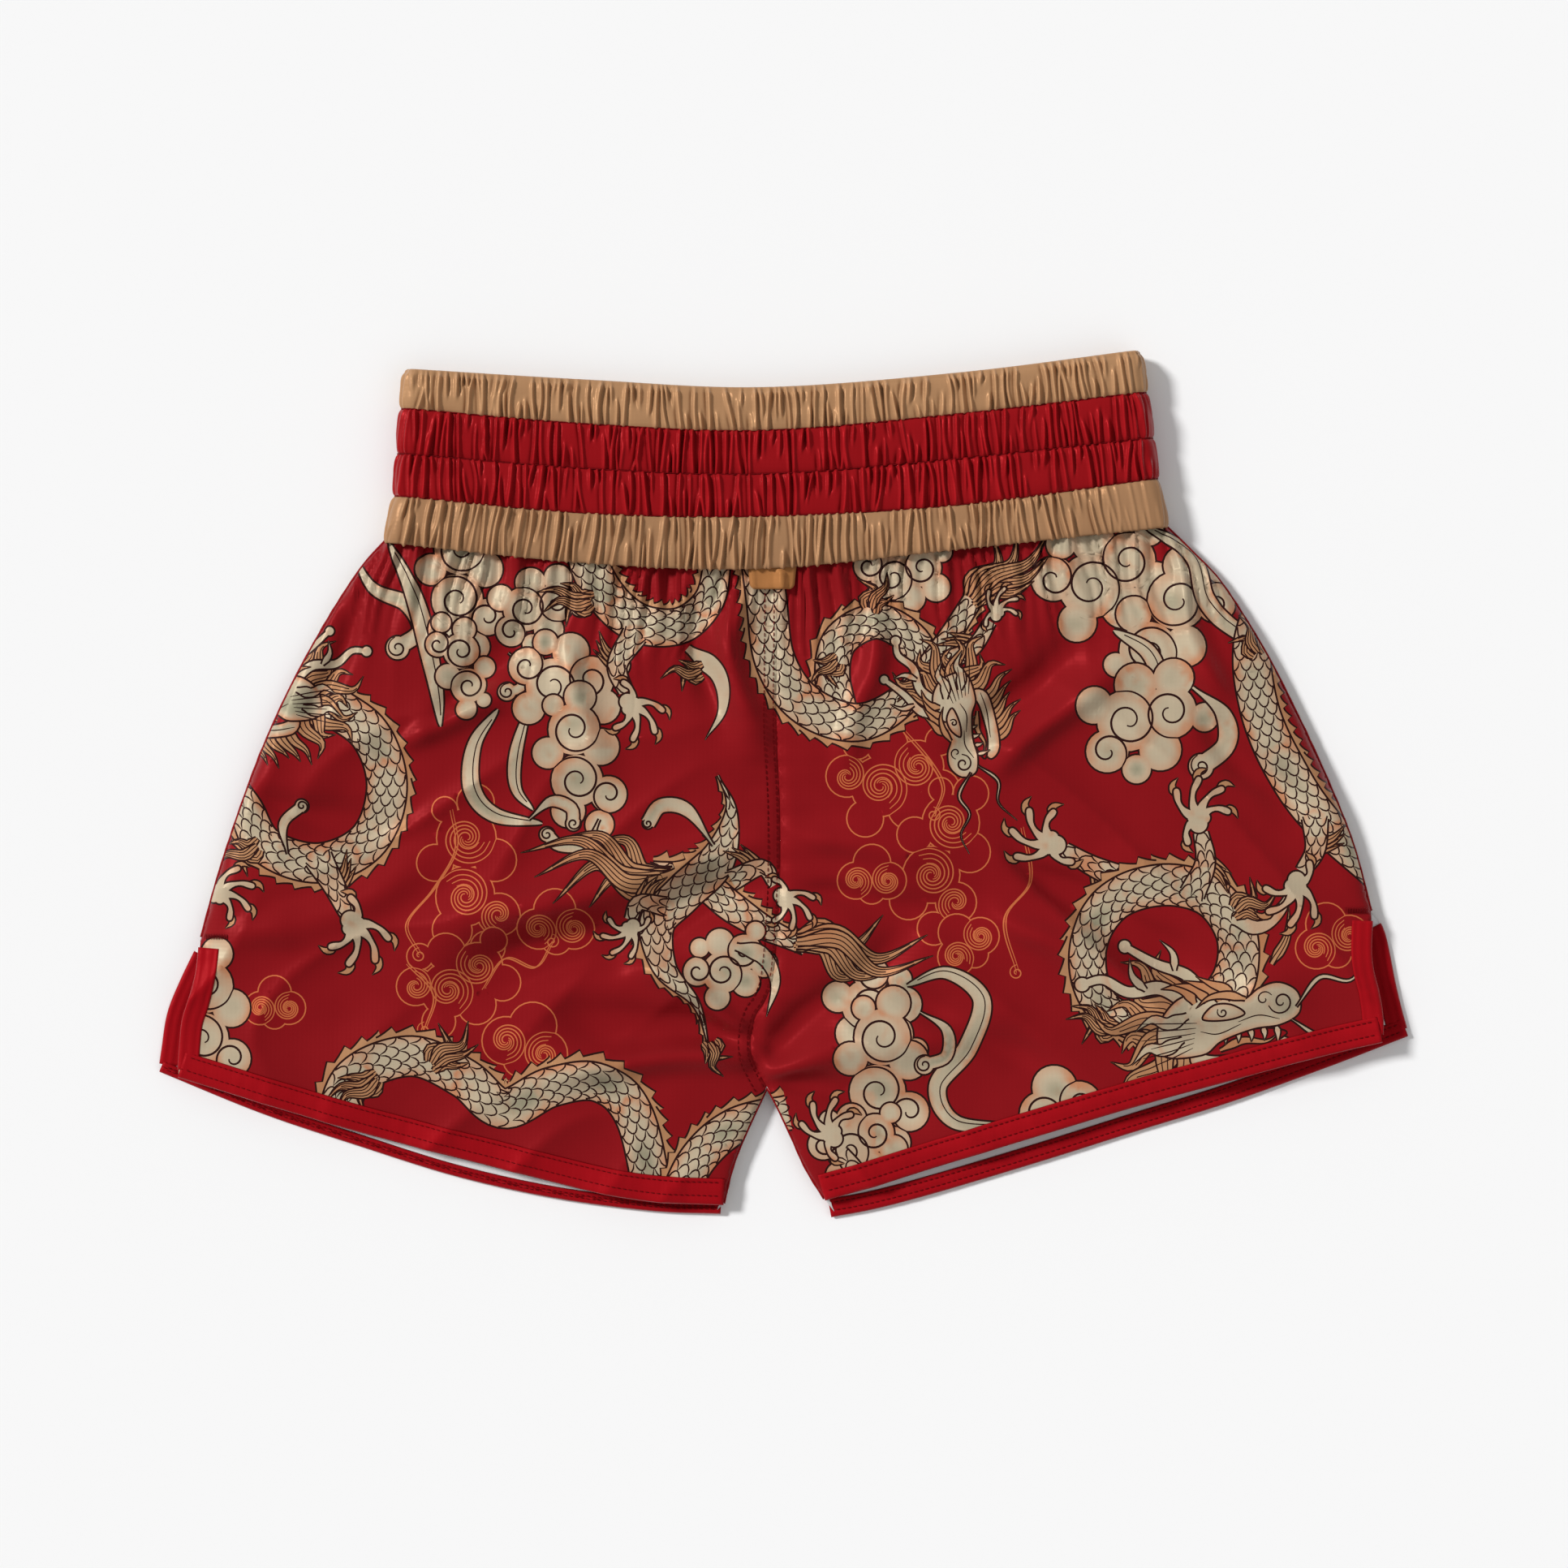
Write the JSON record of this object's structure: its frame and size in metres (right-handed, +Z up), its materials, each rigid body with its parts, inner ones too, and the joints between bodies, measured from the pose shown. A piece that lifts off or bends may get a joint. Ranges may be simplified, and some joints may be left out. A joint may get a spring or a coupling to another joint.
{
  "type": "boxing shorts",
  "caption": "Short satin boxing shorts lying flat, with a gathered two-colour waistband, bound hems and side vents.",
  "frame": {"origin": "on the surface the back of the shorts lies on, under the middle of the garment's outline", "axes": "+X towards the wearer's left side, +Y towards the waist, +Z up, out of the front of the shorts"},
  "size_m": [0.5676, 0.3906, 0.0172],
  "materials": {
    "red_satin": "satin",
    "gold_satin": "satin",
    "red_binding": "satin",
    "white_elastic": "matte, woven",
    "red_thread": "matte"
  },
  "bodies": {
    "legs": {"right_front_panel": "red_satin", "right_back_panel": "red_satin", "right_side_seam": "red_satin", "right_inseam": "red_satin", "right_front_hem_binding": "red_binding", "right_front_vent_binding": "red_binding", "right_front_hem_stitching": "red_thread", "right_back_hem_binding": "red_binding", "right_back_vent_binding": "red_binding", "right_back_hem_stitching": "red_thread", "right_vent_bartack": "red_thread", "left_front_panel": "red_satin", "left_back_panel": "red_satin", "left_side_seam": "red_satin", "left_inseam": "red_satin", "left_front_hem_binding": "red_binding", "left_front_vent_binding": "red_binding", "left_front_hem_stitching": "red_thread", "left_back_hem_binding": "red_binding", "left_back_vent_binding": "red_binding", "left_back_hem_stitching": "red_thread", "left_vent_bartack": "red_thread", "centre_front_seam": "red_satin", "centre_back_seam": "red_satin", "centre_front_topstitch_inner": "red_thread", "centre_front_topstitch_outer": "red_thread", "front_waist_seam": "red_satin", "back_waist_seam": "red_satin", "centre_tab": "gold_satin"},
    "waistband": {"waistband_front_row_1": "gold_satin", "waistband_front_row_2": "red_satin", "waistband_front_row_3": "red_satin", "waistband_front_row_4": "gold_satin", "waistband_back_row_1": "gold_satin", "waistband_back_row_2": "red_satin", "waistband_back_row_3": "red_satin", "waistband_back_row_4": "gold_satin", "elastic_row_1": "white_elastic", "elastic_row_2": "white_elastic", "elastic_row_3": "white_elastic", "elastic_row_4": "white_elastic", "waistband_front_facing": "gold_satin", "waistband_back_facing": "gold_satin", "waistband_stitching_1": "red_thread", "waistband_stitching_2": "red_thread", "waistband_stitching_3": "red_thread"}
  },
  "joints": [
    {"name": "waistband_fold", "type": "hinge", "parent": "legs", "child": "waistband", "pos_m": [0, 0.09, 0.018], "axis": [1, 0, 0], "range_deg": [0, 176]}
  ]
}
